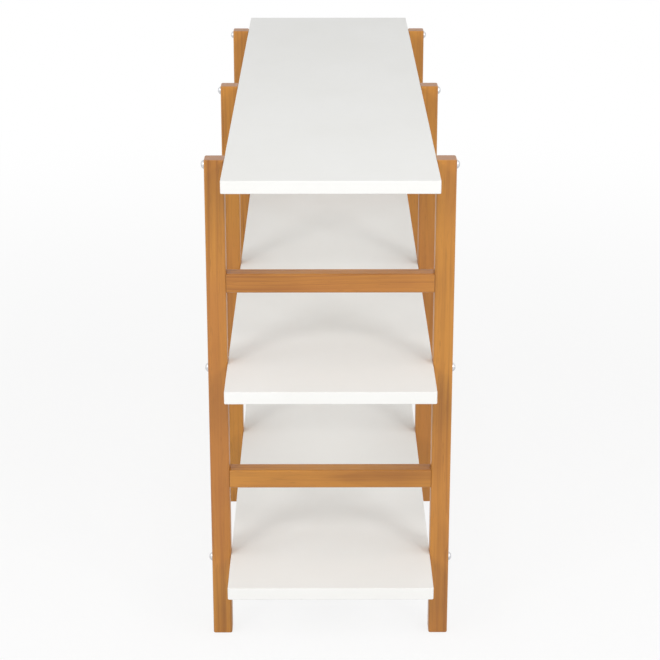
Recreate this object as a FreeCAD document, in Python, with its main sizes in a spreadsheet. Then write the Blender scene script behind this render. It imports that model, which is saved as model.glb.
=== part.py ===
import FreeCAD, Part
import math
import os
import Sketcher

# Open shelving unit: three white boards held between three pairs of wooden posts.
# The boards run along X, the posts stand at the front (-Y) and back (+Y) edges of the boards,
# and two cross rails join the posts at each end. The origin is on the floor, under the middle.
# Connector screws with domed heads pass through the posts into the board edges.

doc = FreeCAD.newDocument("shelving_unit")

# Driving sizes in millimetres
SIZES = [
    ("board_length", 1200, "board, along the unit"),
    ("board_width", 294, "board, from post to post"),
    ("board_thickness", 18, "board"),
    ("board_corner_radius", 2.5, "board corners seen from above"),
    ("board_edge_radius", 1.2, "rounded upper and lower board edges"),
    ("board_overhang", 110, "board end past the outer face of the end posts"),
    ("floor_clearance", 111.5, "floor to the underside of the bottom board"),
    ("clear_height", 282, "free height between two boards"),
    ("post_width", 28, "post, across the unit"),
    ("post_depth", 28, "post, along the unit"),
    ("post_edge_radius", 3, "long edges of the posts"),
    ("post_end_radius", 2, "edges of the post tops and feet"),
    ("post_rise", 0.5, "post tops above the top board"),
    ("rail_height", 28, "cross rail, upright"),
    ("rail_depth", 26, "cross rail, along the unit"),
    ("rail_edge_radius", 3, "long edges of the rails"),
    ("rail_lift", 107, "board to the underside of the rail above it"),
    ("screw_diameter", 7, "connector screw shank"),
    ("screw_length", 60, "connector screw under its head"),
    ("screw_tip_length", 4, "pointed end of the screw"),
    ("screw_head_diameter", 13, "domed screw head"),
    ("screw_head_height", 5, "domed screw head, proud of the post"),
    ("screw_head_rim", 0.8, "straight rim of the head"),
    ("socket_width", 4, "six-sided driver socket across its flats"),
    ("socket_depth", 3, "driver socket, from the crown of the head"),
    ("screw_clearance", 0.15, "gap around the shank"),
    ("dowel_diameter", 6, "dowel between post and board"),
    ("dowel_length", 30, "dowel between post and board"),
    ("dowel_in_post", 14, "part of that dowel that is in the post"),
    ("dowel_offset", 8.5, "dowel beside its screw, along the unit"),
    ("rail_dowel_diameter", 8, "dowel between post and rail"),
    ("rail_dowel_length", 40, "dowel between post and rail"),
    ("rail_dowel_in_post", 18, "part of that dowel that is in the post"),
    ("rail_dowel_spacing", 13, "between the two dowels of one rail end"),
    ("dowel_chamfer", 0.8, "bevelled dowel ends"),
    ("dowel_clearance", 0.05, "gap around a dowel"),
    ("hole_end_gap", 0.6, "hole past the end of its screw or dowel"),
]

sheet = doc.addObject("Spreadsheet::Sheet", "Sizes")
for row, (alias, value, meaning) in enumerate(SIZES, start=1):
    sheet.set(f"A{row}", meaning)
    sheet.set(f"B{row}", str(value))
    sheet.setAlias(f"B{row}", alias)
doc.recompute()

# Places worked out from the driving sizes, as expressions
POST_PITCH = "(Sizes.board_length / 2 - Sizes.board_overhang - Sizes.post_depth / 2)"
POST_Y = "(Sizes.board_width / 2 + Sizes.post_width / 2)"
OUTER_FACE = "(Sizes.board_width / 2 + Sizes.post_width)"
JOINT_FACE = "(Sizes.board_width / 2)"
BOARD_STEP = "(Sizes.clear_height + Sizes.board_thickness)"
POST_HEIGHT = (
    f"(Sizes.floor_clearance + Sizes.board_thickness + 2 * {BOARD_STEP} + Sizes.post_rise)"
)
RAIL_OVER_BOARD_MIDDLE = (
    "(Sizes.board_thickness / 2 + Sizes.rail_lift + Sizes.rail_height / 2)"
)
SCREW_HOLE = "(Sizes.screw_diameter + 2 * Sizes.screw_clearance)"
DOWEL_HOLE = "(Sizes.dowel_diameter + 2 * Sizes.dowel_clearance)"
RAIL_DOWEL_HOLE = "(Sizes.rail_dowel_diameter + 2 * Sizes.dowel_clearance)"

# Boards counted from the floor, rails counted with the board below them
LEVELS = ("bottom", "middle", "top")
RAIL_LEVELS = ("lower", "upper")
COLUMNS = ("left", "middle", "right")
SIDES = ("front", "back")
POSTS_IN_ROW = len(COLUMNS)

parts = []


def board_middle(number):
    """Height of a board's middle plane above the floor, by its number from the bottom."""
    return f"(Sizes.floor_clearance + Sizes.board_thickness / 2 + {number} * {BOARD_STEP})"


def rail_middle(number):
    """Height of a rail's middle above the floor, by the number of the board below it."""
    return f"({board_middle(number)} + {RAIL_OVER_BOARD_MIDDLE})"


def post_x(column):
    """Place of a column of posts along the unit."""
    return f"{COLUMNS.index(column) - COLUMNS.index('middle')} * {POST_PITCH}"


def way_out(side):
    """Which way a side lies along Y."""
    return -1 if side == "front" else 1


def value_of(expression):
    """The present value of an expression, in millimetres."""
    return float(sheet.evalExpression(expression))


def new_body(label):
    """A body that becomes one node, which may hold several separate solids."""
    body = doc.addObject("PartDesign::Body", label)
    body.Label = label
    body.AllowCompound = True
    parts.append(body)
    return body


def place(body, x="0", y="0", z="0", half_turn=False):
    """Move a body to its place, turned half round for the back row."""
    body.setExpression("Placement.Base.x", x)
    body.setExpression("Placement.Base.y", y)
    body.setExpression("Placement.Base.z", z)
    if half_turn:
        body.Placement.Rotation = FreeCAD.Rotation(FreeCAD.Vector(0, 0, 1), 180)


def origin_feature(body, role):
    """One of the body's own planes or axes."""
    return next(item for item in body.Origin.OriginFeatures if item.Role == role)


def new_sketch(body, name, plane, offset="0"):
    """A sketch on one of the body's own planes, moved along that plane's normal."""
    sketch = body.newObject("Sketcher::SketchObject", name)
    sketch.AttachmentSupport = [(origin_feature(body, plane), "")]
    sketch.MapMode = "FlatFace"
    sketch.setExpression("AttachmentOffset.Base.z", offset)
    return sketch


def bind(sketch, constraint, name, expression):
    """Add a named dimension to a sketch and tie it to the sheet."""
    index = sketch.addConstraint(constraint)
    sketch.renameConstraint(index, name)
    sketch.setExpression(f"Constraints.{name}", expression)


def rounded_rectangle(sketch, width, height, radius):
    """A rectangle about the sketch's origin, with round corners."""
    half_w = value_of(width) / 2
    half_h = value_of(height) / 2
    corner = value_of(radius)
    inner_w = half_w - corner
    inner_h = half_h - corner
    # Lines and arcs alternate, from the lower line round to the lower left corner
    lines = [
        ((-inner_w, -half_h), (inner_w, -half_h)),
        ((half_w, -inner_h), (half_w, inner_h)),
        ((inner_w, half_h), (-inner_w, half_h)),
        ((-half_w, inner_h), (-half_w, -inner_h)),
    ]
    centres = [(inner_w, -inner_h), (inner_w, inner_h), (-inner_w, inner_h), (-inner_w, -inner_h)]
    axis = FreeCAD.Vector(0, 0, 1)
    for number, ((start, end), centre) in enumerate(zip(lines, centres)):
        sketch.addGeometry(Part.LineSegment(FreeCAD.Vector(*start), FreeCAD.Vector(*end)))
        round_corner = Part.Circle(FreeCAD.Vector(*centre), axis, corner)
        angle = (number - 1) * math.pi / 2
        sketch.addGeometry(Part.ArcOfCircle(round_corner, angle, angle + math.pi / 2))
    count = sketch.GeometryCount
    for index in range(count):
        sketch.addConstraint(Sketcher.Constraint("Tangent", index, 2, (index + 1) % count, 1))
    for index in (0, 4):
        sketch.addConstraint(Sketcher.Constraint("Horizontal", index))
        sketch.addConstraint(Sketcher.Constraint("Vertical", index + 2))
    for index in (1, 3, 5):
        sketch.addConstraint(Sketcher.Constraint("Equal", index, index + 2))
    sketch.addConstraint(Sketcher.Constraint("Symmetric", 1, 3, 5, 3, -1, 1))
    bind(sketch, Sketcher.Constraint("DistanceX", 6, 1, 2, 1, 2 * half_w), "width", width)
    bind(sketch, Sketcher.Constraint("DistanceY", 0, 1, 4, 1, 2 * half_h), "height", height)
    bind(sketch, Sketcher.Constraint("Radius", 1, corner), "corner", radius)


def circle(sketch, name, diameter, x="0", y="0"):
    """A circle whose centre and diameter are tied to the sheet."""
    centre = FreeCAD.Vector(value_of(x), value_of(y), 0)
    size = value_of(diameter)
    index = sketch.addGeometry(Part.Circle(centre, FreeCAD.Vector(0, 0, 1), size / 2))
    bind(sketch, Sketcher.Constraint("Diameter", index, size), f"{name}_size", diameter)
    bind(sketch, Sketcher.Constraint("DistanceX", -1, 1, index, 3, centre.x), f"{name}_x", x)
    bind(sketch, Sketcher.Constraint("DistanceY", -1, 1, index, 3, centre.y), f"{name}_y", y)


def profile(sketch, points, arcs=()):
    """A closed outline through named places, each an (x, y) pair of expressions.

    An index in arcs makes the stretch that starts at that point a dome's arc, which ends
    on the sketch's Y axis and is square to it there.
    """
    places = [FreeCAD.Vector(value_of(x), value_of(y), 0) for x, y in points]
    count = len(places)
    for index, start in enumerate(places):
        end = places[(index + 1) % count]
        if index in arcs:
            sketch.addGeometry(dome_arc(start, end))
        else:
            sketch.addGeometry(Part.LineSegment(start, end))
    for index in range(count):
        following = (index + 1) % count
        start_of_next = 2 if following in arcs else 1
        end_of_this = 1 if index in arcs else 2
        sketch.addConstraint(
            Sketcher.Constraint("Coincident", index, end_of_this, following, start_of_next)
        )
    for index in arcs:
        sketch.addConstraint(Sketcher.Constraint("PointOnObject", index, 3, -2))
    for index, (x, y) in enumerate(points):
        start = 2 if index in arcs else 1
        spot = places[index]
        bind(sketch, Sketcher.Constraint("DistanceX", -1, 1, index, start, spot.x), f"x{index}", x)
        bind(sketch, Sketcher.Constraint("DistanceY", -1, 1, index, start, spot.y), f"y{index}", y)


def dome_arc(start, end):
    """An arc about a centre on the Y axis, from start to end, where end is on that axis."""
    rise = abs(end.y - start.y)
    radius = (start.x ** 2 + rise ** 2) / (2 * rise)
    centre = FreeCAD.Vector(0, end.y + math.copysign(radius, start.y - end.y), 0)
    angles = [math.atan2(spot.y - centre.y, spot.x - centre.x) for spot in (end, start)]
    return Part.ArcOfCircle(
        Part.Circle(centre, FreeCAD.Vector(0, 0, 1), radius), angles[0], angles[1]
    )


def hexagon(sketch, width):
    """A regular six-sided outline about the sketch's origin, by its width across flats."""
    corner_radius = value_of(width) / math.sqrt(3)
    corners = []
    for step in range(6):
        angle = step * math.pi / 3
        corners.append(
            FreeCAD.Vector(corner_radius * math.cos(angle), corner_radius * math.sin(angle), 0)
        )
    for step, start in enumerate(corners):
        sketch.addGeometry(Part.LineSegment(start, corners[(step + 1) % 6]))
    ring = sketch.addGeometry(
        Part.Circle(FreeCAD.Vector(0, 0, 0), FreeCAD.Vector(0, 0, 1), corner_radius), True
    )
    sketch.addConstraint(Sketcher.Constraint("Coincident", ring, 3, -1, 1))
    for step in range(6):
        sketch.addConstraint(Sketcher.Constraint("Coincident", step, 2, (step + 1) % 6, 1))
        sketch.addConstraint(Sketcher.Constraint("PointOnObject", step, 1, ring))
    for step in range(5):
        sketch.addConstraint(Sketcher.Constraint("Equal", step, step + 1))
    sketch.addConstraint(Sketcher.Constraint("Horizontal", 1))
    bind(
        sketch,
        Sketcher.Constraint("Radius", ring, corner_radius),
        "corner_radius",
        f"{width} / sqrt(3)",
    )


def pad(body, sketch, length, both_ways=False):
    """Thicken a sketch along its normal."""
    feature = body.newObject("PartDesign::Pad", sketch.Name + "_pad")
    feature.Profile = sketch
    feature.setExpression("Length", length)
    if both_ways:
        feature.SideType = "Symmetric"
    doc.recompute()
    return feature


def cut(body, sketch, depth, reverse=False):
    """Sink a sketch into the body, and make sure that it took material away."""
    before = body.Shape.Volume
    feature = body.newObject("PartDesign::Pocket", sketch.Name + "_cut")
    feature.Profile = sketch
    feature.Reversed = reverse
    feature.setExpression("Length", depth)
    doc.recompute()
    if not body.Shape.Volume < before:
        raise RuntimeError(f"{feature.Label} cuts nothing")
    return feature


def turn(body, sketch):
    """Revolve a sketch about its own vertical axis."""
    feature = body.newObject("PartDesign::Revolution", sketch.Name + "_turned")
    feature.Profile = sketch
    feature.ReferenceAxis = (sketch, ["V_Axis"])
    feature.Angle = 360
    doc.recompute()
    return feature


def round_ends(body, base, radius):
    """Round the edges of the upper and lower faces of an upright solid."""
    flat = []
    for number, face in enumerate(base.Shape.Faces, start=1):
        if abs(face.normalAt(0, 0).z) > 0.99:
            flat.append(f"Face{number}")
    feature = body.newObject("PartDesign::Fillet", base.Name + "_rounded")
    feature.Base = (base, flat)
    feature.setExpression("Radius", radius)
    doc.recompute()
    return feature


def repeat_in_row(body, originals):
    """Repeat features at each post of a row, along X."""
    feature = body.newObject("PartDesign::LinearPattern", body.Name + "_row")
    feature.Originals = originals
    feature.Direction = (origin_feature(body, "X_Axis"), [""])
    feature.setExpression("Length", f"{POSTS_IN_ROW - 1} * {POST_PITCH}")
    feature.Occurrences = POSTS_IN_ROW
    body.Tip = feature
    doc.recompute()


def mirror_across(body, originals):
    """Repeat features on the other side of the unit's long middle plane."""
    feature = body.newObject("PartDesign::Mirrored", body.Name + "_mirrored")
    feature.Originals = originals
    feature.MirrorPlane = (origin_feature(body, "XZ_Plane"), [""])
    body.Tip = feature
    doc.recompute()


# Posts, drilled from the outside for the screws and from the inside for the dowels
def make_post(column, side):
    body = new_body(f"post_{column}_{side}")
    name = body.Name
    section = new_sketch(body, name + "_section", "XY_Plane")
    rounded_rectangle(section, "Sizes.post_depth", "Sizes.post_width", "Sizes.post_edge_radius")
    round_ends(body, pad(body, section, POST_HEIGHT), "Sizes.post_end_radius")

    outer = new_sketch(body, name + "_screws", "XZ_Plane", "Sizes.post_width / 2")
    for number, level in enumerate(LEVELS):
        circle(outer, level, SCREW_HOLE, y=board_middle(number))
    doc.recompute()
    holes = body.newObject("PartDesign::Hole", name + "_screw_holes")
    holes.Profile = outer
    holes.ThreadType = "None"
    holes.DepthType = "ThroughAll"
    holes.setExpression("Diameter", SCREW_HOLE)
    doc.recompute()

    inner = new_sketch(body, name + "_dowels", "XZ_Plane", "-Sizes.post_width / 2")
    for number, level in enumerate(LEVELS):
        circle(inner, level, DOWEL_HOLE, x="Sizes.dowel_offset", y=board_middle(number))
    cut(body, inner, "Sizes.dowel_in_post + Sizes.hole_end_gap", reverse=True)

    if column != "middle":
        rails = new_sketch(body, name + "_rail_dowels", "XZ_Plane", "-Sizes.post_width / 2")
        for number, level in enumerate(RAIL_LEVELS):
            for end, sign in (("below", "-"), ("above", "+")):
                middle = f"{rail_middle(number)} {sign} Sizes.rail_dowel_spacing / 2"
                circle(rails, f"{level}_{end}", RAIL_DOWEL_HOLE, y=middle)
        cut(body, rails, "Sizes.rail_dowel_in_post + Sizes.hole_end_gap", reverse=True)

    place(
        body,
        x=post_x(column),
        y=f"{way_out(side)} * {POST_Y}",
        half_turn=side == "back",
    )


# Cross rails between the two posts of an end
def make_rail(column, level):
    body = new_body(f"rail_{column}_{level}")
    name = body.Name
    section = new_sketch(body, name + "_section", "XZ_Plane")
    rounded_rectangle(section, "Sizes.rail_depth", "Sizes.rail_height", "Sizes.rail_edge_radius")
    pad(body, section, "Sizes.board_width", both_ways=True)

    end = new_sketch(body, name + "_dowels", "XZ_Plane", JOINT_FACE)
    for spot, sign in (("below", "-"), ("above", "")):
        circle(end, spot, RAIL_DOWEL_HOLE, y=f"{sign}Sizes.rail_dowel_spacing / 2")
    depth = "Sizes.rail_dowel_length - Sizes.rail_dowel_in_post + Sizes.hole_end_gap"
    holes = cut(body, end, depth)
    mirror_across(body, [holes])
    place(body, x=post_x(column), z=rail_middle(RAIL_LEVELS.index(level)))


# Boards, drilled in both long edges
def make_board(level):
    body = new_body(f"board_{level}")
    name = body.Name
    outline = new_sketch(body, name + "_outline", "XY_Plane")
    rounded_rectangle(
        outline, "Sizes.board_length", "Sizes.board_width", "Sizes.board_corner_radius"
    )
    slab = pad(body, outline, "Sizes.board_thickness", both_ways=True)
    round_ends(body, slab, "Sizes.board_edge_radius")

    for side in SIDES:
        inward = -way_out(side)
        offset = f"{inward} * {JOINT_FACE}"
        screws = new_sketch(body, f"{name}_{side}_screws", "XZ_Plane", offset)
        dowels = new_sketch(body, f"{name}_{side}_dowels", "XZ_Plane", offset)
        for column in COLUMNS:
            beside = f"{post_x(column)} + {inward} * Sizes.dowel_offset"
            circle(screws, column, SCREW_HOLE, x=post_x(column))
            circle(dowels, column, DOWEL_HOLE, x=beside)
        back = side == "back"
        cut(body, screws, "Sizes.screw_length - Sizes.post_width + Sizes.hole_end_gap", back)
        cut(body, dowels, "Sizes.dowel_length - Sizes.dowel_in_post + Sizes.hole_end_gap", back)
    place(body, z=board_middle(LEVELS.index(level)))


def place_row(body, level, side, beside="0"):
    """Start a row of fixings at the first post of its side, at the board's middle."""
    place(
        body,
        x=f"{way_out(side)} * ({POST_PITCH} - {beside})",
        z=board_middle(LEVELS.index(level)),
        half_turn=side == "back",
    )


# Connector screws, their domed heads seated on the outer faces of the posts
def make_screws(level, side):
    body = new_body(f"screws_{level}_{side}")
    name = body.Name
    seat = f"-{OUTER_FACE}"
    rim = f"{seat} - Sizes.screw_head_rim"
    crown = f"{seat} - Sizes.screw_head_height"
    tip = f"{seat} + Sizes.screw_length"
    outline = new_sketch(body, name + "_outline", "XY_Plane")
    profile(
        outline,
        [
            ("Sizes.screw_head_diameter / 2", rim),
            ("0", crown),
            ("0", tip),
            ("Sizes.screw_diameter / 4", tip),
            ("Sizes.screw_diameter / 2", f"{tip} - Sizes.screw_tip_length"),
            ("Sizes.screw_diameter / 2", seat),
            ("Sizes.screw_head_diameter / 2", seat),
        ],
        arcs=(0,),
    )
    shank = turn(body, outline)
    socket_plane = f"{OUTER_FACE} + Sizes.screw_head_height"
    socket = new_sketch(body, name + "_socket", "XZ_Plane", socket_plane)
    hexagon(socket, "Sizes.socket_width")
    recess = cut(body, socket, "Sizes.socket_depth")
    repeat_in_row(body, [shank, recess])
    place_row(body, level, side)


def dowel_profile(sketch, start, length, diameter):
    """Half the section of a dowel with bevelled ends, along the sketch's Y axis."""
    end = f"{start} + {length}"
    radius = f"{diameter} / 2"
    narrow = f"{radius} - Sizes.dowel_chamfer"
    profile(
        sketch,
        [
            ("0", start),
            (narrow, start),
            (radius, f"{start} + Sizes.dowel_chamfer"),
            (radius, f"{end} - Sizes.dowel_chamfer"),
            (narrow, end),
            ("0", end),
        ],
    )


# Dowels that keep each post from turning on its screws
def make_board_dowels(level, side):
    body = new_body(f"dowels_{level}_{side}")
    outline = new_sketch(body, body.Name + "_outline", "XY_Plane")
    start = f"-{JOINT_FACE} - Sizes.dowel_in_post"
    dowel_profile(outline, start, "Sizes.dowel_length", "Sizes.dowel_diameter")
    repeat_in_row(body, [turn(body, outline)])
    place_row(body, level, side, beside="Sizes.dowel_offset")


# Glued dowels in both ends of a rail, two above each other at each end
def make_rail_dowels(column, level):
    body = new_body(f"dowels_rail_{column}_{level}")
    outline = new_sketch(body, body.Name + "_outline", "XY_Plane")
    start = f"-{JOINT_FACE} - Sizes.rail_dowel_in_post"
    dowel_profile(outline, start, "Sizes.rail_dowel_length", "Sizes.rail_dowel_diameter")
    pin = turn(body, outline)

    pair = body.newObject("PartDesign::MultiTransform", body.Name + "_set")
    stack = body.newObject("PartDesign::LinearPattern", body.Name + "_stack")
    stack.Direction = (origin_feature(body, "Z_Axis"), [""])
    stack.setExpression("Length", "Sizes.rail_dowel_spacing")
    stack.Occurrences = 2
    other_end = body.newObject("PartDesign::Mirrored", body.Name + "_other_end")
    other_end.MirrorPlane = (origin_feature(body, "XZ_Plane"), [""])
    pair.Originals = [pin]
    pair.Transformations = [stack, other_end]
    body.Tip = pair
    doc.recompute()
    place(
        body,
        x=post_x(column),
        z=f"{rail_middle(RAIL_LEVELS.index(level))} - Sizes.rail_dowel_spacing / 2",
    )


for column in COLUMNS:
    for side in SIDES:
        make_post(column, side)

for column in ("left", "right"):
    for level in RAIL_LEVELS:
        make_rail(column, level)
        make_rail_dowels(column, level)

for level in LEVELS:
    make_board(level)
    for side in SIDES:
        make_screws(level, side)
        make_board_dowels(level, side)

doc.recompute()

for item in doc.Objects:
    if "Invalid" in item.State or "Error" in item.State:
        raise RuntimeError(f"{item.Label} did not build")

os.makedirs("parts", exist_ok=True)
for part in parts:
    if part.Shape.isNull() or not part.Shape.isValid():
        raise RuntimeError(f"{part.Label} has no valid shape")
    part.Shape.exportStep(f"parts/{part.Label}.step")
    print(part.Label, len(part.Shape.Solids), "solids", round(part.Shape.Volume), "mm3")
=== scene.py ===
import math

import bmesh
import bpy
from bpy.props import FloatProperty, FloatVectorProperty, IntProperty, PointerProperty
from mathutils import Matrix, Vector


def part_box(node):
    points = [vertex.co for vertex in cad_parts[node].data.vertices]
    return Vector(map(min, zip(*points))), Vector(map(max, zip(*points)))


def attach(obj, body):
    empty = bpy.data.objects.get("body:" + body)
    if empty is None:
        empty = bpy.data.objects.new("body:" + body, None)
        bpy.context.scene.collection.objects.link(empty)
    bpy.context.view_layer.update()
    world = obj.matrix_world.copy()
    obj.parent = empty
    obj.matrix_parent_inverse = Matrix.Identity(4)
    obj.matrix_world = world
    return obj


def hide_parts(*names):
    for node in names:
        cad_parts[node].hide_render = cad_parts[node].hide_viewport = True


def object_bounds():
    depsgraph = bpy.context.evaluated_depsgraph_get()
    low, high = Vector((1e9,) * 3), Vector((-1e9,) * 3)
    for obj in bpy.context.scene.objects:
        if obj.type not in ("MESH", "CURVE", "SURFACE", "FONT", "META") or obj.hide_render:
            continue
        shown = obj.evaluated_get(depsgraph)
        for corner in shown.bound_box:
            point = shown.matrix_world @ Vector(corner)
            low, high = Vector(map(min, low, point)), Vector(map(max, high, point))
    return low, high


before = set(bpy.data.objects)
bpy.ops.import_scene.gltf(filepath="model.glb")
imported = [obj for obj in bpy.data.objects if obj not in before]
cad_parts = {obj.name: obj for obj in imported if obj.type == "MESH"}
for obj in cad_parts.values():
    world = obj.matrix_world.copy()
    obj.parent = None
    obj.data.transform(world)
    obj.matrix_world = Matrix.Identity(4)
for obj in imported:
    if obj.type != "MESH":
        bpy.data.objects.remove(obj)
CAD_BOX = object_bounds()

bl_info = {
    "name": "Shelving Unit",
    "version": (1, 0, 0),
    "blender": (4, 5, 0),
    "location": "3D View > Sidebar > Shelving",
    "description": "Models a shelving unit of white boards between stained posts",
    "category": "Add Mesh",
}

SIDES = ("front", "back")
COLUMNS = ("left", "middle", "right")
LEVELS = ("bottom", "middle", "top")
RAIL_COLUMNS = ("left", "right")
RAIL_LEVELS = ("lower", "upper")

ALONG_Y, ALONG_Z = 1, 2          # axes by their place in a vector
CROSSWISE = (0.0, 1.0, 0.0)
UPRIGHT = (0.0, 0.0, 1.0)
QUARTER_TURN = math.radians(90)
WHITE = (1.0, 1.0, 1.0, 1.0)
NOISE_MIDDLE = (0.5, 0.5, 0.5)   # mean of a noise colour

TOUCH = 1e-5                     # how near two places are to count as one, in metres
SQUARE_ON = 0.99                 # how squarely a face looks along an axis to count as facing it
SMOOTH_ANGLE = math.radians(40)  # edges sharper than this stay sharp
ROUND_PROFILE = 0.5              # a bevel's profile where it is part of a circle
FLAT_WEIGHT = 100                # lets the large flats set the shading at rounded edges
EASE_STEPS = 2                   # flats across a small eased edge
SOCKET_SIDES = 6

GRAIN_UP = (0.0, 0.0, 0.0)       # turns that lay a piece along the log: posts, then rails
GRAIN_ACROSS = (QUARTER_TURN, 0.0, 0.0)
LOG_STEP = 3.1                   # how far along the log one piece is cut from the next
LOG_PLACES = 7                   # places round the log that pieces are cut from
LOG_STRIDE = 3                   # how many places further round the next piece is cut
LOG_TURN = math.radians(22)      # from one place round the log to the next
TREMBLE_REACH = (0.0022, 0.0022, 0.0)  # how far the rings tremble, in metres
SPELLS_PER_YEAR = 0.45           # how often good and poor growth take turns
SPELL_SHIFT = 2.4                # how far, in rings, such a spell moves those after it
KNOTS_PER_METRE = (13.0, 13.0, 6.0)
KNOT_PUSH = 0.0045               # how far a knot pushes the rings aside, in metres
# How much more stain each post and rail took than the rest, in the order they are made
STAIN_SHIFT = (0.04, -0.05, -0.17, -0.08, 0.07, -0.09, 0.05, -0.04, -0.06, -0.01)

# Depth of each surface's relief in metres, and how strongly it shows
GRAIN_RELIEF = (0.0002, 0.30)
DOWEL_RELIEF = (0.0002, 0.40)
LACQUER_RELIEF = (0.00003, 0.35)
ZINC_RELIEF = (0.00002, 0.25)


def length(name, description, default):
    """A length in metres that shows with its unit."""
    return FloatProperty(
        name=name, description=description, default=default,
        min=0.0, unit="LENGTH", subtype="DISTANCE", precision=4,
    )


def place(name, description, default):
    """A signed distance in metres from the middle of the unit."""
    return FloatProperty(
        name=name, description=description, default=default,
        unit="LENGTH", subtype="DISTANCE", precision=4,
    )


def share(name, description, default):
    """A plain share from 0 to 1."""
    return FloatProperty(
        name=name, description=description, default=default,
        min=0.0, max=1.0, subtype="FACTOR",
    )


def colour(name, description, default):
    """A linear colour without alpha."""
    return FloatVectorProperty(
        name=name, description=description, default=default,
        size=3, min=0.0, max=1.0, subtype="COLOR",
    )


def turn(name, description, default):
    """An angle, given in degrees and kept in radians."""
    return FloatProperty(
        name=name, description=description, default=math.radians(default),
        unit="ROTATION", subtype="ANGLE",
    )


def power(name, description, default):
    """The power of a lamp in watts."""
    return FloatProperty(
        name=name, description=description, default=default,
        min=0.0, unit="POWER",
    )


class TimberSettings(bpy.types.PropertyGroup):
    """Sizes and colours of the stained posts and rails."""

    post_edge: length("Post Edge", "Rounding of a post's long edges", 0.003)
    post_end: length("Post End", "Rounding round a post's two ends", 0.002)
    rail_edge: length("Rail Edge", "Rounding of a rail's long edges", 0.003)
    rail_end: length("Rail End", "Easing where a rail meets a post", 0.0007)
    round_steps: IntProperty(
        name="Round Steps", description="Flats across one rounded edge",
        default=5, min=2, max=12,
    )
    early: colour("Early Wood", "Stained colour of the pale spring growth", (0.525, 0.218, 0.027))
    late: colour("Late Wood", "Stained colour of the dark summer growth", (0.283, 0.096, 0.010))
    flush: colour("Flush", "Redder colour where the stain took more", (0.430, 0.150, 0.030))
    # The rubbed edge is partly real wear, where stain is sanded off the arrises. It is also partly a
    # painted highlight that lightens the arrises as the coat's glint would.
    rubbed: colour("Rubbed Edge", "Paler colour where an edge was sanded through", (0.60, 0.29, 0.085))
    rub_and_highlight_reach: length("Rub Reach", "How far in from an edge the rubbing goes", 0.0016)
    rub_and_highlight: share("Rub", "How much stain is rubbed off along an edge", 0.45)
    ring_width: length("Ring Width", "Growth in one year", 0.0062)
    wander: length("Wander", "How far the rings stray along the log", 0.014)
    pith_distance: length("Pith Distance", "From the heart of the log to the piece", 0.052)
    end_cut: colour("End Cut", "Duller colour of the sawn ends", (0.380, 0.192, 0.104))
    knot: colour("Knot", "Dark heart of a small knot", (0.150, 0.050, 0.010))
    gloss: share("Gloss", "Weight of the clear satin coat", 0.20)
    gloss_blur: share("Gloss Blur", "Roughness of the clear satin coat", 0.28)


class BoardSettings(bpy.types.PropertyGroup):
    """Sizes and colours of the white boards."""

    corner: length("Corner", "Rounding of a board's corners seen from above", 0.0025)
    edge: length("Edge", "Rounding of a board's upper and lower edges", 0.0012)
    round_steps: IntProperty(
        name="Round Steps", description="Flats across one rounded edge",
        default=5, min=2, max=12,
    )
    tone: colour("Lacquer", "White of the lacquer", (0.869, 0.868, 0.849))
    shade: colour("Lacquer Shade", "White where the coat is thinner", (0.842, 0.839, 0.814))
    scuffed: colour("Scuffed Edge", "Duller white along handled edges", (0.74, 0.72, 0.68))
    scuff_reach: length("Scuff Reach", "How far in from an edge the scuffs go", 0.0018)
    scuff: share("Scuff", "How much an edge is scuffed", 0.16)
    sheen: share("Sheen", "Strength of the lacquer's reflections", 0.30)
    peel: FloatProperty(
        name="Peel", description="Ripples of the lacquer in one metre", default=380.0, min=0.0,
    )


class FixingSettings(bpy.types.PropertyGroup):
    """Sizes and colours of the screws and dowels."""

    head_height: length("Head Height", "How far a screw's domed head stands proud", 0.005)
    head_rim: length("Head Rim", "Straight side of a head under its dome", 0.0008)
    head_edge: length("Head Edge", "Easing round the foot of a head", 0.00015)
    shank_radius: length("Shank Radius", "Radius of a screw in its hole", 0.0035)
    tip_length: length("Tip Length", "Tapered end of a screw", 0.004)
    tip_width: share("Tip Width", "Width of a screw's tip as a share of its shank", 0.5)
    socket_width: length("Socket Width", "Driver socket across its flats", 0.004)
    socket_depth: length("Socket Depth", "Driver socket from the crown of the head", 0.003)
    dome_rings: IntProperty(
        name="Dome Rings", description="Rings of faces from rim to crown",
        default=10, min=4, max=16,
    )
    around: IntProperty(
        name="Around", description="Faces round one screw", default=48, min=16, max=96,
    )
    zinc: colour("Zinc", "Bright zinc of the screws", (0.76, 0.77, 0.79))
    zinc_dull: colour("Dull Zinc", "Zinc that has begun to dull", (0.52, 0.53, 0.55))
    dowel_early: colour("Dowel", "Pale wood of the dowels", (0.66, 0.48, 0.29))
    dowel_late: colour("Dowel Late Wood", "Darker growth in the dowels", (0.50, 0.33, 0.18))
    dowel_ring: length("Dowel Rings", "Growth in one year in the dowels", 0.002)
    dowel_wander: length("Dowel Wander", "How far the rings stray in the dowels", 0.004)


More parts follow.
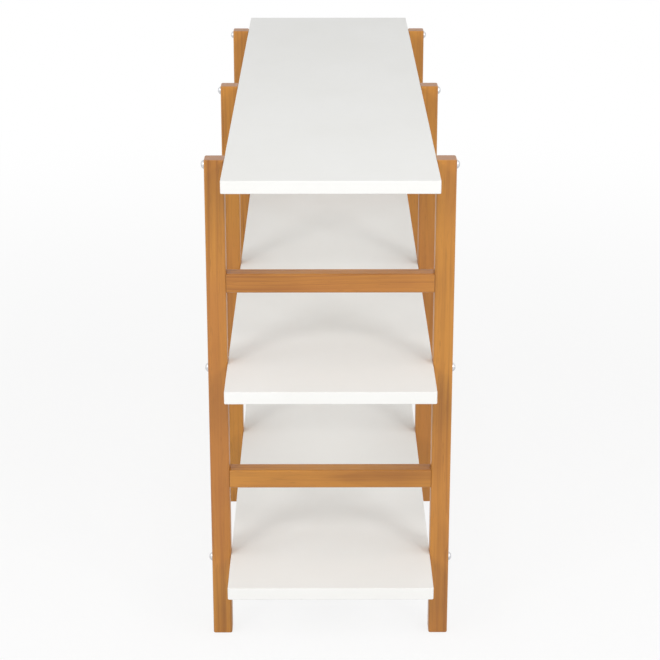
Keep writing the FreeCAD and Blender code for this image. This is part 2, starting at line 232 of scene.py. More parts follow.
class StageSettings(bpy.types.PropertyGroup):
    """Camera, lamps and floor."""

    eye_distance: place("Eye Distance", "Camera's distance along the unit from its middle", 3.1176)
    eye_side: place("Eye Side", "Camera's distance to the side of the unit's middle", -0.0095)
    eye_height: place("Eye Height", "Camera's height over the floor", 1.4026)
    eye_pitch: turn("Eye Pitch", "How far the camera looks down", 19.314)
    eye_yaw: turn("Eye Yaw", "How far the camera looks to the side", 0.195)
    lens: FloatProperty(
        name="Lens", description="Focal length for a film 36 mm wide",
        default=106.95, min=10.0, unit="CAMERA",
    )
    key_power: power("Key Power", "Power of each lamp in front", 40.6)
    lamp_distance: length("Lamp Distance", "From the unit's near end to each lamp", 3.4)
    key_angle: turn("Key Angle", "How far each front lamp stands to its side", 40.0)
    key_height: length("Key Height", "Height of the front lamps", 2.45)
    key_size: length("Key Size", "Width of each front lamp", 1.2)
    fill_power: power("Fill Power", "Power of each lamp at the side", 26.0)
    fill_angle: turn("Fill Angle", "How far each side lamp stands to its side", 80.0)
    fill_height: length("Fill Height", "Height of the side lamps", 2.2)
    fill_size: length("Fill Size", "Width of each side lamp", 2.6)
    ambient: FloatProperty(
        name="Ambient", description="Light from all round", default=0.588, min=0.0,
    )
    floor: colour("Floor", "Colour of the floor", (0.86, 0.86, 0.86))
    floor_rough: share("Floor Roughness", "How matt the floor is", 0.9)
    floor_sheen: share("Floor Sheen", "Strength of the floor's reflections", 0.1)
    floor_size: length("Floor Size", "Width of the floor", 40.0)
    floor_glow: share("Floor Glow", "How white the eye sees the floor by the unit", 0.83)
    fade_start: length("Fade Start", "From the unit's middle to where the floor begins to fade", 0.7)
    fade_end: length("Fade End", "From the unit's middle to where the floor is white", 2.8)


class Wiring:
    """A node tree, with a short call for each kind of node that the finishes use."""

    def __init__(self, tree):
        self.tree = tree

    def node(self, kind, inputs=None, **settings):
        """Add a node, set its options, and set or link its inputs."""
        node = self.tree.nodes.new(kind)
        for name, value in settings.items():
            setattr(node, name, value)
        for key, value in (inputs or {}).items():
            self.feed(node.inputs[key], value)
        return node

    def feed(self, socket, value):
        """Link a socket to another one, or give it a plain value."""
        if isinstance(value, bpy.types.NodeSocket):
            self.tree.links.new(value, socket)
        else:
            socket.default_value = value

    def sum_of(self, operation, *values, clamp=False):
        """One Math node."""
        inputs = dict(enumerate(values))
        return self.node("ShaderNodeMath", inputs, operation=operation, use_clamp=clamp).outputs[0]

    def vector(self, operation, *values):
        """One Vector Math node that puts out a vector."""
        inputs = dict(enumerate(values))
        return self.node("ShaderNodeVectorMath", inputs, operation=operation).outputs["Vector"]

    def measure(self, operation, *values):
        """One Vector Math node that puts out a number."""
        inputs = dict(enumerate(values))
        return self.node("ShaderNodeVectorMath", inputs, operation=operation).outputs["Value"]

    def noise(self, vector, stretch, detail=2.0, rough=0.5):
        """Noise with its own number of blobs per metre along each axis."""
        scaled = self.vector("MULTIPLY", vector, stretch)
        inputs = {"Vector": scaled, "Scale": 1.0, "Detail": detail, "Roughness": rough}
        return self.node("ShaderNodeTexNoise", inputs)

    def ease(self, value, start, stop, low=0.0, high=1.0):
        """A smooth step from low to high as the value goes from start to stop."""
        inputs = {"Value": value, "From Min": start, "From Max": stop, "To Min": low, "To Max": high}
        return self.node("ShaderNodeMapRange", inputs, interpolation_type="SMOOTHSTEP").outputs[0]

    def mix(self, factor, first, second, how="MIX"):
        """Mix two colours."""
        node = self.node("ShaderNodeMix", data_type="RGBA", blend_type=how)
        sockets = [s for s in node.inputs if s.enabled]
        for socket, value in zip(sockets, (factor, first, second)):
            self.feed(socket, value)
        return next(s for s in node.outputs if s.enabled)

    def group(self, name, inputs):
        """Place a shared node group."""
        node = self.node("ShaderNodeGroup", node_tree=bpy.data.node_groups[name])
        for key, value in inputs.items():
            self.feed(node.inputs[key], value)
        return node.outputs


def opaque(rgb):
    """A colour with full alpha, as node sockets want it."""
    return (rgb[0], rgb[1], rgb[2], 1.0)


def new_group(name, inputs, outputs):
    """Start a node group; gives its wiring, what comes in and where results go."""
    tree = bpy.data.node_groups.new(name, "ShaderNodeTree")
    for label, kind in inputs.items():
        tree.interface.new_socket(name=label, in_out="INPUT", socket_type="NodeSocket" + kind)
    for label, kind in outputs.items():
        tree.interface.new_socket(name=label, in_out="OUTPUT", socket_type="NodeSocket" + kind)
    come_in = tree.nodes.new("NodeGroupInput").outputs
    go_out = tree.nodes.new("NodeGroupOutput").inputs
    return Wiring(tree), come_in, go_out


def build_timber_grain():
    """Growth rings, fibres and pores of a log that stands along Z, and its end cut."""
    wires, given, result = new_group(
        "Timber Grain",
        {
            "Vector": "Vector", "Normal": "Vector", "Log Axis": "Vector",
            "Ring Width": "Float", "Wander": "Float", "Stain": "Float",
            "Early": "Color", "Late": "Color", "Flush": "Color",
            "End Cut": "Color", "Knot": "Color",
        },
        {"Color": "Color", "Roughness": "Float", "Height": "Float"},
    )
    point = given["Vector"]
    ring_depth, end_depth, pore_depth = 0.44, 0.18, 0.34      # how far each darkens the stain
    knot_cover, end_cover = 0.8, 0.75                         # how far each hides the stain
    pore_rough, end_rough = 0.16, 0.14                        # how much duller each is
    fibre_height, ring_height, pore_height = 0.55, 0.30, 0.75

    # The heart of a tree is never straight, so the rings stray slowly along the log.
    slow = wires.noise(point, (7.0, 7.0, 2.6), detail=1.0).outputs["Color"]
    stray = wires.vector("SUBTRACT", slow, NOISE_MIDDLE)
    reach = wires.node("ShaderNodeCombineXYZ", {"X": given["Wander"], "Y": given["Wander"]}).outputs[0]
    bent = wires.vector("ADD", point, wires.vector("MULTIPLY", stray, reach))
    quick = wires.noise(point, (45.0, 45.0, 7.0), detail=2.0).outputs["Color"]
    tremble = wires.vector("SUBTRACT", quick, NOISE_MIDDLE)
    bent = wires.vector("ADD", bent, wires.vector("MULTIPLY", tremble, TREMBLE_REACH))

    # A small knot now and then pushes the rings aside.
    spread = wires.vector("MULTIPLY", point, KNOTS_PER_METRE)
    seed = wires.node("ShaderNodeTexVoronoi", {"Vector": spread, "Scale": 1.0})
    knot = wires.ease(seed.outputs["Distance"], 0.07, 0.02)
    push = wires.ease(seed.outputs["Distance"], 0.26, 0.03, 0.0, KNOT_PUSH)

    # Years of good and poor growth make the rings uneven in width and in depth of colour.
    radius = wires.measure("LENGTH", wires.vector("MULTIPLY", bent, (1.0, 1.0, 0.0)))
    radius = wires.sum_of("ADD", radius, push)
    years = wires.sum_of("DIVIDE", radius, given["Ring Width"])
    spells = wires.sum_of("MULTIPLY", years, SPELLS_PER_YEAR)
    weather = wires.node(
        "ShaderNodeTexNoise", {"W": spells, "Scale": 1.0, "Detail": 1.0}, noise_dimensions="1D",
    ).outputs[0]
    years = wires.sum_of("MULTIPLY_ADD", weather, SPELL_SHIFT, years)
    season = wires.sum_of("FRACT", years)
    harvest = wires.node(
        "ShaderNodeTexWhiteNoise", {"W": wires.sum_of("FLOOR", years)}, noise_dimensions="1D",
    ).outputs["Value"]
    summer = wires.ease(season, 0.18, 0.88)
    winter = wires.ease(season, 0.88, 1.0, 1.0, 0.0)
    ring = wires.sum_of("MULTIPLY", summer, winter)
    ring = wires.sum_of("MULTIPLY", ring, wires.ease(harvest, 0.0, 1.0, 0.35, 1.0))

    fibre = wires.noise(bent, (620.0, 620.0, 8.0), detail=4.0, rough=0.6).outputs[0]
    streak = wires.noise(bent, (95.0, 95.0, 1.7), detail=3.0, rough=0.55).outputs[0]
    broad = wires.noise(point, (11.0, 11.0, 2.6), detail=2.0).outputs[0]
    drift = wires.noise(point, (11.0, 11.0, 6.0), detail=2.0, rough=0.5).outputs[0]
    pore = wires.noise(bent, (1350.0, 1350.0, 38.0), detail=1.0).outputs[0]
    pore = wires.ease(pore, 0.62, 0.74)
    pore = wires.sum_of("MULTIPLY", pore, wires.ease(season, 0.05, 0.6, 1.0, 0.35))

    # The end cut drinks more stain, so it is darker and duller, and shows the rings as arcs.
    facing = wires.sum_of("ABSOLUTE", wires.measure("DOT_PRODUCT", given["Normal"], given["Log Axis"]))
    cut = wires.ease(facing, 0.55, 0.92)

    depth = wires.sum_of("MULTIPLY_ADD", ring, ring_depth, given["Stain"])
    depth = wires.sum_of("ADD", depth, wires.ease(streak, 0.34, 0.68, -0.10, 0.30))
    depth = wires.sum_of("ADD", depth, wires.ease(drift, 0.30, 0.70, -0.14, 0.36))
    depth = wires.sum_of("ADD", depth, wires.ease(fibre, 0.25, 0.75, -0.10, 0.14))
    depth = wires.sum_of("MULTIPLY_ADD", cut, end_depth, depth, clamp=True)
    shade = wires.mix(depth, given["Early"], given["Late"])
    shade = wires.mix(wires.ease(broad, 0.42, 0.68, 0.0, 0.50), shade, given["Flush"])
    shade = wires.mix(wires.sum_of("MULTIPLY", knot, knot_cover), shade, given["Knot"])
    dark = wires.sum_of("MULTIPLY_ADD", pore, -pore_depth, 1.0)
    shade = wires.mix(1.0, shade, dark, "MULTIPLY")
    shade = wires.mix(wires.sum_of("MULTIPLY", cut, end_cover), shade, given["End Cut"])
    wires.feed(result["Color"], shade)

    rough = wires.ease(fibre, 0.2, 0.8, 0.36, 0.47)
    rough = wires.sum_of("MULTIPLY_ADD", pore, pore_rough, rough)
    rough = wires.sum_of("MULTIPLY_ADD", cut, end_rough, rough)
    wires.feed(result["Roughness"], rough)

    height = wires.sum_of("MULTIPLY", ring, ring_height)
    height = wires.sum_of("MULTIPLY_ADD", fibre, fibre_height, height)
    wires.feed(result["Height"], wires.sum_of("MULTIPLY_ADD", pore, -pore_height, height))


def build_edge_wear_and_highlight():
    """Marks along the edges of a box, broken up as handling breaks them up; on the stained timber they
    also carry a painted highlight along the arrises.
    """
    wires, given, result = new_group(
        "Edge Wear And Highlight",
        {"Vector": "Vector", "Centre": "Vector", "Half Size": "Vector", "Reach": "Float"},
        {"Mask": "Float"},
    )
    away = wires.vector("ABSOLUTE", wires.vector("SUBTRACT", given["Vector"], given["Centre"]))
    inside = wires.node(
        "ShaderNodeSeparateXYZ", {0: wires.vector("SUBTRACT", given["Half Size"], away)},
    ).outputs
    # Of the three distances to the faces, the second smallest is the distance to an edge.
    least = wires.sum_of("MINIMUM", inside["X"], inside["Y"])
    other = wires.sum_of("MAXIMUM", inside["X"], inside["Y"])
    edge = wires.sum_of("MAXIMUM", least, wires.sum_of("MINIMUM", other, inside["Z"]))
    near = wires.ease(wires.sum_of("DIVIDE", edge, given["Reach"]), 0.0, 1.0, 1.0, 0.0)
    patches = wires.noise(given["Vector"], (38.0, 38.0, 38.0), detail=4.0, rough=0.6).outputs[0]
    wires.feed(result["Mask"], wires.sum_of("MULTIPLY", near, wires.ease(patches, 0.36, 0.66)))


def build_lacquer():
    """Sprayed white lacquer: slow drift of tone, fine orange peel, faint smears."""
    wires, given, result = new_group(
        "White Coat",
        {"Vector": "Vector", "Tone": "Color", "Shade": "Color", "Peel": "Float"},
        {"Color": "Color", "Roughness": "Float", "Height": "Float"},
    )
    point = given["Vector"]
    drift_share, cloud_share = 0.65, 0.35      # how much of the thin coat each makes up
    cloud_rough = 0.05
    drift = wires.noise(point, (4.0, 6.0, 6.0), detail=3.0).outputs[0]
    cloud = wires.noise(point, (55.0, 55.0, 55.0), detail=3.0).outputs[0]
    thin = wires.ease(drift, 0.3, 0.7, 0.0, drift_share)
    thin = wires.sum_of("MULTIPLY_ADD", cloud, cloud_share, thin)
    wires.feed(result["Color"], wires.mix(thin, given["Tone"], given["Shade"]))

    smear = wires.noise(point, (7.0, 26.0, 26.0), detail=3.0, rough=0.6).outputs[0]
    rough = wires.ease(smear, 0.35, 0.7, 0.57, 0.65)
    peel = wires.node("ShaderNodeTexNoise", {"Vector": point, "Scale": given["Peel"], "Detail": 2.0})
    wires.feed(result["Roughness"], wires.sum_of("MULTIPLY_ADD", cloud, cloud_rough, rough))
    wires.feed(result["Height"], peel.outputs[0])


def build_zinc():
    """Zinc plate: dull and bright patches with fine drawing marks."""
    wires, given, result = new_group(
        "Zinc Plate",
        {"Vector": "Vector", "Bright": "Color", "Dull": "Color"},
        {"Color": "Color", "Roughness": "Float", "Height": "Float"},
    )
    patch = wires.noise(given["Vector"], (420.0, 420.0, 420.0), detail=4.0, rough=0.6).outputs[0]
    drawn = wires.noise(given["Vector"], (2600.0, 160.0, 2600.0), detail=2.0).outputs[0]
    dull = wires.ease(patch, 0.35, 0.65)
    dull_rough = 0.16
    wires.feed(result["Color"], wires.mix(dull, given["Bright"], given["Dull"]))
    rough = wires.ease(drawn, 0.2, 0.8, 0.26, 0.36)
    wires.feed(result["Roughness"], wires.sum_of("MULTIPLY_ADD", dull, dull_rough, rough))
    wires.feed(result["Height"], drawn)


GROUP_BUILDERS = {
    "Timber Grain": build_timber_grain,
    "Edge Wear And Highlight": build_edge_wear_and_highlight,
    "White Coat": build_lacquer,
    "Zinc Plate": build_zinc,
}


def need_group(name):
    """Build a shared node group the first time that a finish asks for it."""
    if name not in bpy.data.node_groups:
        GROUP_BUILDERS[name]()
    return name


def new_finish(name):
    """Start a material; gives it, its wiring, its shader and its coordinates."""
    material = bpy.data.materials.new(name)
    material.use_nodes = True
    wires = Wiring(material.node_tree)
    wires.tree.nodes.clear()
    shader = wires.node("ShaderNodeBsdfPrincipled")
    wires.node("ShaderNodeOutputMaterial", {"Surface": shader.outputs[0]})
    coords = wires.node("ShaderNodeTexCoord").outputs
    return material, wires, shader, coords


def apply_surface(wires, shader, surface, relief):
    """Feed a group's roughness and height to the shader."""
    depth, strength = relief
    wires.feed(shader.inputs["Roughness"], surface["Roughness"])
    bump = wires.node(
        "ShaderNodeBump",
        {"Strength": strength, "Distance": depth, "Height": surface["Height"]},
    )
    wires.feed(shader.inputs["Normal"], bump.outputs[0])


def edge_wear_and_highlight(wires, coords, node, reach):
    """Edge wear for a piece that fills a node's box; on the timber it also places a painted edge
    highlight.
    """
    low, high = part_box(node)
    return wires.group(need_group("Edge Wear And Highlight"), {
        "Vector": coords["Object"],
        "Centre": (low + high) / 2,
        "Half Size": (high - low) / 2,
        "Reach": reach,
    })["Mask"]


def timber_finish(name, node, along, number, settings):
    """Stained wood for one post or rail, cut from its own place in the log."""
    material, wires, shader, coords = new_finish(name)
    centre = middle_of(node)
    swing = LOG_TURN * ((LOG_STRIDE * number) % LOG_PLACES - LOG_PLACES // 2)
    heart = Vector((math.cos(swing), math.sin(swing), 0.0)) * settings.pith_distance
    heart.z = LOG_STEP * number
    if along == GRAIN_UP:
        log_axis = UPRIGHT
        start = heart - Vector((centre.x, centre.y, 0.0))
    else:
        log_axis = CROSSWISE
        start = heart - Vector((centre.x, -centre.z, 0.0))
    mapping = wires.node(
        "ShaderNodeMapping",
        {"Vector": coords["Object"], "Location": start, "Rotation": along},
    )
    grain = wires.group(need_group("Timber Grain"), {
        "Vector": mapping.outputs[0],
        "Normal": coords["Normal"],
        "Log Axis": log_axis,
        "Ring Width": settings.ring_width,
        "Wander": settings.wander,
        "Stain": STAIN_SHIFT[number],
        "Early": opaque(settings.early),
        "Late": opaque(settings.late),
        "Flush": opaque(settings.flush),
        "End Cut": opaque(settings.end_cut),
        "Knot": opaque(settings.knot),
    })
    # Paler colour along the edges. This is partly stain rubbed off and partly a painted highlight on
    # the arrises.
    wear_and_highlight = wires.sum_of("MULTIPLY", edge_wear_and_highlight(wires, coords, node, settings.rub_and_highlight_reach), settings.rub_and_highlight)
    wires.feed(shader.inputs["Base Color"], wires.mix(wear_and_highlight, grain["Color"], opaque(settings.rubbed)))
    apply_surface(wires, shader, grain, GRAIN_RELIEF)
    shader.inputs["Coat Weight"].default_value = settings.gloss
    shader.inputs["Coat Roughness"].default_value = settings.gloss_blur
    return material


def board_finish(name, node, settings):
    """White satin lacquer for one board."""
    material, wires, shader, coords = new_finish(name)
    coat = wires.group(need_group("White Coat"), {
        "Vector": coords["Object"],
        "Tone": opaque(settings.tone),
        "Shade": opaque(settings.shade),
        "Peel": settings.peel,
    })
    wear_and_highlight = wires.sum_of("MULTIPLY", edge_wear_and_highlight(wires, coords, node, settings.scuff_reach), settings.scuff)
    wires.feed(shader.inputs["Base Color"], wires.mix(wear_and_highlight, coat["Color"], opaque(settings.scuffed)))
    apply_surface(wires, shader, coat, LACQUER_RELIEF)
    shader.inputs["Specular IOR Level"].default_value = settings.sheen
    return material


def zinc_finish(name, settings):
    """Bright zinc for the screws."""
    material, wires, shader, coords = new_finish(name)
    plate = wires.group(need_group("Zinc Plate"), {
        "Vector": coords["Object"],
        "Bright": opaque(settings.zinc),
        "Dull": opaque(settings.zinc_dull),
    })
    wires.feed(shader.inputs["Base Color"], plate["Color"])
    apply_surface(wires, shader, plate, ZINC_RELIEF)
    shader.inputs["Metallic"].default_value = 1.0
    return material


def dowel_finish(name, settings):
    """Plain pale wood for the dowels, which all lie across the unit."""
    material, wires, shader, coords = new_finish(name)
    mapping = wires.node(
        "ShaderNodeMapping",
        {"Vector": coords["Object"], "Rotation": GRAIN_ACROSS},
    )
    grain = wires.group(need_group("Timber Grain"), {
        "Vector": mapping.outputs[0],
        "Normal": coords["Normal"],
        "Log Axis": CROSSWISE,
        "Ring Width": settings.dowel_ring,
        "Wander": settings.dowel_wander,
        "Stain": 0.0,
        "Early": opaque(settings.dowel_early),
        "Late": opaque(settings.dowel_late),
        "Flush": opaque(settings.dowel_early),
        "End Cut": opaque(settings.dowel_late),
        "Knot": opaque(settings.dowel_late),
    })
    wires.feed(shader.inputs["Base Color"], grain["Color"])
    apply_surface(wires, shader, grain, DOWEL_RELIEF)
    return material


def select_only(obj):
    """Make one object the only one selected, and active."""
    bpy.ops.object.select_all(action="DESELECT")
    obj.select_set(True)
    bpy.context.view_layer.objects.active = obj


def add_block(name, low, high):
    """Add a cube that fills the box from low to high."""
    bpy.ops.object.select_all(action="DESELECT")
    bpy.ops.mesh.primitive_cube_add(size=1.0, location=(low + high) / 2, scale=high - low)
    obj = bpy.context.object
    obj.name = name
    obj.data.name = name
    bpy.ops.object.transform_apply(location=True, rotation=True, scale=True)
    return obj


def pick(obj, kind, test):
    """In edit mode, select only the edges or faces that pass the test."""
    bpy.ops.mesh.select_mode(type=kind)
    bpy.ops.mesh.select_all(action="DESELECT")
    shape = bmesh.from_edit_mesh(obj.data)
    items = shape.edges if kind == "EDGE" else shape.faces
    found = [item for item in items if test(item)]
    if not found:
        raise RuntimeError("nothing to select on " + obj.name)
    for item in found:
        item.select_set(True)
    bmesh.update_edit_mesh(obj.data)


def runs_along(axis):
    """A test for edges that run along one axis."""
    def test(edge):
        step = edge.verts[0].co - edge.verts[1].co
        return abs(abs(step[axis]) - step.length) < TOUCH
    return test


def lies_at(axis, *places):
    """A test for edges that lie flat at one of the given places on an axis."""
    def test(edge):
        return any(
            all(abs(vertex.co[axis] - spot) < TOUCH for vertex in edge.verts)
            for spot in places
        )
    return test


def round_over(obj, test, radius, steps):
    """Round the edges that pass the test."""
    pick(obj, "EDGE", test)
    bpy.ops.mesh.bevel(offset=radius, segments=steps, profile=ROUND_PROFILE, affect="EDGES")


def finish_mesh(obj):
    """Smooth the rounded edges and keep the flats flat."""
    select_only(obj)
    bpy.ops.object.shade_smooth_by_angle(angle=SMOOTH_ANGLE)
    bpy.ops.object.modifier_add(type="WEIGHTED_NORMAL")
    flats = obj.modifiers[-1]
    flats.weight = FLAT_WEIGHT
    flats.keep_sharp = True
    bpy.ops.object.modifier_apply(modifier=flats.name)


def copy_piece(obj, name, move):
    """Copy a piece with a mesh of its own, and move the copy."""
    select_only(obj)
    bpy.ops.object.duplicate(linked=False)
    copy = bpy.context.object
    copy.name = name
    copy.data.name = name
    bpy.ops.transform.translate(value=move)
    bpy.ops.object.transform_apply(location=True, rotation=True, scale=True)
    return copy


def rounded_block(name, node, axis, edge, end, steps, end_steps):
    """Model a block over a node; round its edges along an axis, then those round its two ends."""
    low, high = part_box(node)
    block = add_block(name, low, high)
    bpy.ops.object.mode_set(mode="EDIT")
    round_over(block, runs_along(axis), edge, steps)
    round_over(block, lies_at(axis, low[axis], high[axis]), end, end_steps)
    bpy.ops.object.mode_set(mode="OBJECT")
    finish_mesh(block)
    return block


def at_each(first, prefix, nodes):
    """Give a modelled piece with its node, and then a copy of it with each further node."""
    yield first, nodes[0]
    for node in nodes[1:]:
        yield copy_piece(first, prefix + node, middle_of(node) - middle_of(nodes[0])), node


def dress(obj, material):
    """Give a piece its one material."""
    obj.data.materials.clear()
    obj.data.materials.append(material)


def settle(obj, node):
    """Tie a piece to the frame in place of its plain solid."""
    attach(obj, "root")
    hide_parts(node)


def middle_of(node):
    """Centre of a node's box."""
    low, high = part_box(node)
    return (low + high) / 2


class SHELVING_OT_posts(bpy.types.Operator):
    """Model one post with rounded edges and ends, and stand six of them"""

    bl_idname = "shelving.posts"
    bl_label = "Posts"

    def execute(self, context):
        settings = context.scene.shelving_timber
        nodes = ["post_%s_%s" % (column, side) for column in COLUMNS for side in SIDES]
        first = rounded_block(
            "stained_" + nodes[0], nodes[0], ALONG_Z,
            settings.post_edge, settings.post_end, settings.round_steps, settings.round_steps,
        )
        for number, (post, node) in enumerate(at_each(first, "stained_", nodes)):
            dress(post, timber_finish(post.name, node, GRAIN_UP, number, settings))
            settle(post, node)
        return {"FINISHED"}


class SHELVING_OT_rails(bpy.types.Operator):
    """Model one cross rail with rounded edges, and set four of them"""

    bl_idname = "shelving.rails"
    bl_label = "Rails"

    def execute(self, context):
        settings = context.scene.shelving_timber
        nodes = ["rail_%s_%s" % (column, level) for column in RAIL_COLUMNS for level in RAIL_LEVELS]
        first = rounded_block(
            "stained_" + nodes[0], nodes[0], ALONG_Y,
            settings.rail_edge, settings.rail_end, settings.round_steps, EASE_STEPS,
        )
        taken = len(COLUMNS) * len(SIDES)
        for number, (rail, node) in enumerate(at_each(first, "stained_", nodes), start=taken):
            dress(rail, timber_finish(rail.name, node, GRAIN_ACROSS, number, settings))
            settle(rail, node)
        return {"FINISHED"}


class SHELVING_OT_boards(bpy.types.Operator):
    """Model one board with rounded corners and edges, and lay three of them"""

    bl_idname = "shelving.boards"
    bl_label = "Boards"

    def execute(self, context):
        settings = context.scene.shelving_board
        nodes = ["board_" + level for level in LEVELS]
        first = rounded_block(
            "lacquered_" + nodes[0], nodes[0], ALONG_Z,
            settings.corner, settings.edge, settings.round_steps, settings.round_steps,
        )
        for board, node in at_each(first, "lacquered_", nodes):
            dress(board, board_finish(board.name, node, settings))
            settle(board, node)
        return {"FINISHED"}


class SHELVING_OT_screws(bpy.types.Operator):
    """Model one screw with its domed head and driver socket, and drive in eighteen of them"""

    bl_idname = "shelving.screws"
    bl_label = "Screws"

    def execute(self, context):
        settings = context.scene.shelving_fixing
        first_node = "screws_%s_%s" % (LEVELS[0], SIDES[0])
        screw = self.model_screw(first_node, settings)
        self.cut_socket(screw, settings)
        columns = [middle_of("post_%s_%s" % (column, SIDES[0])).x for column in COLUMNS]
        copies = [
            copy_piece(screw, "screw", Vector((x - columns[0], 0.0, 0.0)))
            for x in columns[1:]
        ]
        select_only(screw)
        for copy in copies:
            copy.select_set(True)
        bpy.ops.object.join()
        finish_mesh(screw)
        dress(screw, zinc_finish("bright_zinc", settings))
        for level in LEVELS:
            for side in SIDES:
                node = "screws_%s_%s" % (level, side)
                row = screw
                if node != first_node:
                    lift = middle_of(node).z - middle_of(first_node).z
                    row = copy_piece(screw, "zinc_" + node, Vector((0.0, 0.0, lift)))
                if side == SIDES[1]:
                    self.turn_round(row)
                settle(row, node)
        return {"FINISHED"}

    def model_screw(self, node, settings):
        """The screw in the first post, with its head to the front."""
        low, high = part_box(node)
        radius = (high.z - low.z) / 2
        self.axis = Vector((low.x + radius, 0.0, (low.z + high.z) / 2))
        self.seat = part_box("post_%s_%s" % (COLUMNS[0], SIDES[0]))[0].y
        bpy.ops.object.select_all(action="DESELECT")
        bpy.ops.mesh.primitive_cylinder_add(
            vertices=settings.around, radius=radius, depth=settings.head_rim,
            location=(self.axis.x, self.seat - settings.head_rim / 2, self.axis.z),
            rotation=(QUARTER_TURN, 0.0, 0.0),
        )
        screw = bpy.context.object
        screw.name = "zinc_" + node
        screw.data.name = screw.name
        bpy.ops.object.transform_apply(location=True, rotation=True, scale=True)
        bpy.ops.object.mode_set(mode="EDIT")

        # The dome is part of a ball that rises from the rim to the head's full height.
        rise = settings.head_height - settings.head_rim
        ball = (radius ** 2 + rise ** 2) / (2 * rise)
        spread = math.asin(radius / ball)
        pick(screw, "FACE", lambda face: face.normal.y < -SQUARE_ON)
        ring_radius = radius
        ring_height = 0.0
        for ring in range(1, settings.dome_rings):
            angle = spread * (1 - ring / settings.dome_rings)
            new_radius = ball * math.sin(angle)
            new_height = ball * math.cos(angle) - (ball - rise)
            self.draw_out(ring_height - new_height, new_radius / ring_radius)
            ring_radius = new_radius
            ring_height = new_height

        # Behind the head the shank goes through the post into the board, and tapers at its tip.
        pick(screw, "FACE", lambda face: face.normal.y > SQUARE_ON)
        bpy.ops.mesh.inset(thickness=radius - settings.shank_radius)
        self.draw_out(high.y - self.seat - settings.tip_length, 1.0)
        self.draw_out(settings.tip_length, settings.tip_width)
        round_over(
            screw, lambda edge: self.on_circle(edge, self.seat, radius),
            settings.head_edge, EASE_STEPS,
        )
        bpy.ops.object.mode_set(mode="OBJECT")
        return screw

    def cut_socket(self, screw, settings):
        """Sink a six-sided driver socket into the crown of the head."""
        crown = self.seat - settings.head_height
        over = settings.head_height
        half_side = math.pi / SOCKET_SIDES
        bpy.ops.object.select_all(action="DESELECT")
        bpy.ops.mesh.primitive_cylinder_add(
            vertices=SOCKET_SIDES, radius=settings.socket_width / 2 / math.cos(half_side),
            depth=settings.socket_depth + over,
            location=(self.axis.x, crown + (settings.socket_depth - over) / 2, self.axis.z),
            rotation=(QUARTER_TURN, half_side, 0.0),
        )
        cutter = bpy.context.object
        select_only(screw)
        bpy.ops.object.modifier_add(type="BOOLEAN")
        socket = screw.modifiers[-1]
        socket.operation = "DIFFERENCE"
        socket.solver = "EXACT"
        socket.object = cutter
        bpy.ops.object.modifier_apply(modifier=socket.name)
        bpy.ops.object.mode_set(mode="EDIT")
        bpy.ops.mesh.select_all(action="SELECT")
        bpy.ops.mesh.remove_doubles(threshold=TOUCH)
        bpy.ops.object.mode_set(mode="OBJECT")
        select_only(cutter)
        bpy.ops.object.delete()

    def draw_out(self, step, scale):
        """Extrude the selected face along the screw's axis and scale its far end."""
        bpy.ops.mesh.extrude_region_move(TRANSFORM_OT_translate={"value": (0.0, step, 0.0)})
        bpy.ops.transform.resize(value=(scale, 1.0, scale), center_override=self.axis)

    def on_circle(self, edge, place_y, radius):
        """Whether an edge lies on a circle round the screw's axis."""
        for vertex in edge.verts:
            reach = math.hypot(vertex.co.x - self.axis.x, vertex.co.z - self.axis.z)
            if abs(vertex.co.y - place_y) > TOUCH or abs(reach - radius) > TOUCH:
                return False
        return True

    def turn_round(self, row):
        """Turn a row of screws to the back of the unit."""
        select_only(row)
        bpy.ops.transform.rotate(value=math.pi, orient_axis="Z", center_override=(0.0, 0.0, 0.0))
        bpy.ops.object.transform_apply(location=True, rotation=True, scale=True)


class SHELVING_OT_dowels(bpy.types.Operator):
    """Finish the hidden dowels, whose solids are right as they are"""

    bl_idname = "shelving.dowels"
    bl_label = "Dowels"

    def execute(self, context):
        pale = dowel_finish("pale_wood_dowels", context.scene.shelving_fixing)
        for name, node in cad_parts.items():
            if not name.startswith("dowels_"):
                continue
            if not node.material_slots:
                raise RuntimeError(name + " has no material slot")
            for slot in node.material_slots:
                slot.material = pale
        return {"FINISHED"}


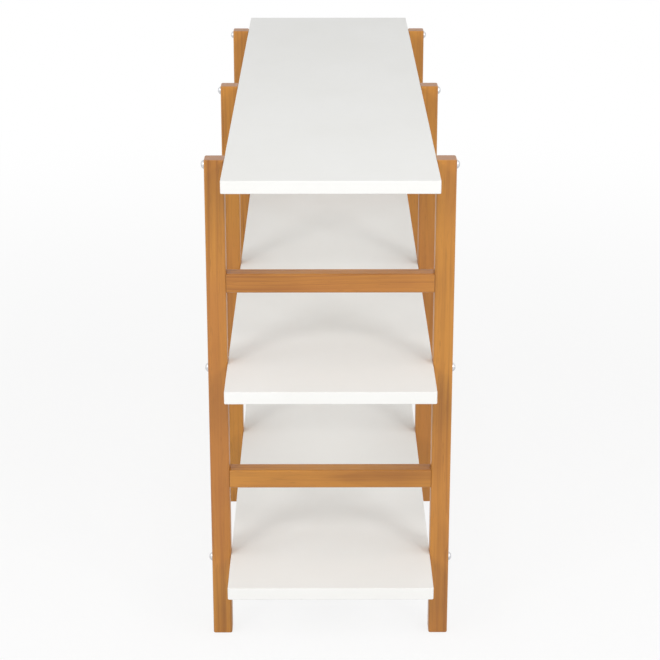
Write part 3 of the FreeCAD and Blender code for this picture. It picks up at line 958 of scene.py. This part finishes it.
class SHELVING_OT_stage(bpy.types.Operator):
    """Set the floor, the soft lamps, the white surround and the camera"""

    bl_idname = "shelving.stage"
    bl_label = "Stage"

    def execute(self, context):
        settings = context.scene.shelving_stage
        context.scene.view_settings.view_transform = "Standard"
        self.lay_floor(settings)
        self.hang_lamps(settings)
        self.light_surround(context.scene, settings)
        self.stand_camera(context.scene, settings)
        return {"FINISHED"}

    def seen(self, wires):
        """1 for the eye and for what shines or is clear, 0 for scattered light."""
        path = wires.node("ShaderNodeLightPath").outputs
        shiny = wires.sum_of("MAXIMUM", path["Is Glossy Ray"], path["Is Transmission Ray"])
        return wires.sum_of("MAXIMUM", path["Is Camera Ray"], shiny)

    def lay_floor(self, settings):
        """A plain pale floor that fades to white and keeps the unit's shadow."""
        bpy.ops.object.select_all(action="DESELECT")
        bpy.ops.mesh.primitive_plane_add(size=settings.floor_size)
        floor = bpy.context.object
        floor.name = "studio_floor"
        material, wires, shader, coords = new_finish("studio_floor")
        shader.inputs["Base Color"].default_value = opaque(settings.floor)
        shader.inputs["Roughness"].default_value = settings.floor_rough
        shader.inputs["Specular IOR Level"].default_value = settings.floor_sheen
        glow = wires.node("ShaderNodeEmission", {"Color": WHITE, "Strength": 1.0})
        away = wires.measure("LENGTH", coords["Object"])
        white = wires.ease(away, settings.fade_start, settings.fade_end, settings.floor_glow, 1.0)
        fade = wires.sum_of("MULTIPLY", self.seen(wires), white)
        mixed = wires.node("ShaderNodeMixShader", {0: fade, 1: shader.outputs[0], 2: glow.outputs[0]})
        out = next(n for n in wires.tree.nodes if n.type == "OUTPUT_MATERIAL")
        wires.feed(out.inputs["Surface"], mixed.outputs[0])
        dress(floor, material)

    def hang_lamps(self, settings):
        """A pair of soft lamps before the near end and a weaker pair beside it."""
        near_end = Vector((CAD_BOX[1][0], 0.0, 0.0))
        aim = Vector((0.0, 0.0, CAD_BOX[1][2] / 2))
        key = (settings.key_angle, settings.key_height, settings.key_power, settings.key_size)
        fill = (settings.fill_angle, settings.fill_height, settings.fill_power, settings.fill_size)
        for name, (angle, height, watts, size) in (("key", key), ("fill", fill)):
            across = settings.lamp_distance * math.cos(angle)
            aside = settings.lamp_distance * math.sin(angle)
            for hand, side in (("left", -1), ("right", 1)):
                spot = near_end + Vector((across, side * aside, height))
                self.add_lamp(name + "_" + hand, spot, aim, watts, size)

    def add_lamp(self, name, spot, aim, watts, size):
        """A square soft lamp that faces a point."""
        facing = (aim - spot).to_track_quat("-Z", "Y").to_euler()
        bpy.ops.object.light_add(type="AREA", location=spot, rotation=facing)
        lamp = bpy.context.object
        lamp.name = "studio_" + name
        lamp.data.energy = watts
        lamp.data.shape = "SQUARE"
        lamp.data.size = size

    def light_surround(self, scene, settings):
        """White for the eye, softer for the light that it sheds."""
        scene.world = bpy.data.worlds.new("studio_surround")
        scene.world.use_nodes = True
        wires = Wiring(scene.world.node_tree)
        wires.tree.nodes.clear()
        shed = wires.node("ShaderNodeBackground", {"Color": WHITE, "Strength": settings.ambient})
        white = wires.node("ShaderNodeBackground", {"Color": WHITE, "Strength": 1.0})
        mixed = wires.node(
            "ShaderNodeMixShader", {0: self.seen(wires), 1: shed.outputs[0], 2: white.outputs[0]},
        )
        wires.node("ShaderNodeOutputWorld", {"Surface": mixed.outputs[0]})

    def stand_camera(self, scene, settings):
        """The photograph's viewing angle, from over the near end."""
        spot = (settings.eye_distance, settings.eye_side, settings.eye_height)
        tilt = QUARTER_TURN - settings.eye_pitch
        heading = QUARTER_TURN - settings.eye_yaw
        bpy.ops.object.camera_add(location=spot, rotation=(tilt, 0.0, heading))
        camera = bpy.context.object
        camera.name = "studio_camera"
        camera.data.lens = settings.lens
        scene.camera = camera


class SHELVING_PT_sidebar(bpy.types.Panel):
    """Lists the steps that make the shelving unit, with their sizes and colours"""

    bl_idname = "SHELVING_PT_sidebar"
    bl_label = "Shelving Unit"
    bl_space_type = "VIEW_3D"
    bl_region_type = "UI"
    bl_category = "Shelving"

    def draw(self, context):
        for operator in OPERATORS:
            self.layout.operator(operator.bl_idname)
        for name, settings in SETTINGS.items():
            box = self.layout.box()
            for field in settings.__annotations__:
                box.prop(getattr(context.scene, name), field)


SETTINGS = {
    "shelving_timber": TimberSettings,
    "shelving_board": BoardSettings,
    "shelving_fixing": FixingSettings,
    "shelving_stage": StageSettings,
}
OPERATORS = (
    SHELVING_OT_posts,
    SHELVING_OT_rails,
    SHELVING_OT_boards,
    SHELVING_OT_screws,
    SHELVING_OT_dowels,
    SHELVING_OT_stage,
)


def register():
    for name, settings in SETTINGS.items():
        bpy.utils.register_class(settings)
        setattr(bpy.types.Scene, name, PointerProperty(type=settings))
    for operator in OPERATORS:
        bpy.utils.register_class(operator)
    bpy.utils.register_class(SHELVING_PT_sidebar)


def unregister():
    bpy.utils.unregister_class(SHELVING_PT_sidebar)
    for operator in reversed(OPERATORS):
        bpy.utils.unregister_class(operator)
    for name, settings in reversed(SETTINGS.items()):
        delattr(bpy.types.Scene, name)
        bpy.utils.unregister_class(settings)


def main():
    register()
    bpy.ops.shelving.posts()
    bpy.ops.shelving.rails()
    bpy.ops.shelving.boards()
    bpy.ops.shelving.screws()
    bpy.ops.shelving.dowels()
    bpy.ops.shelving.stage()


if __name__ == "__main__":
    main()
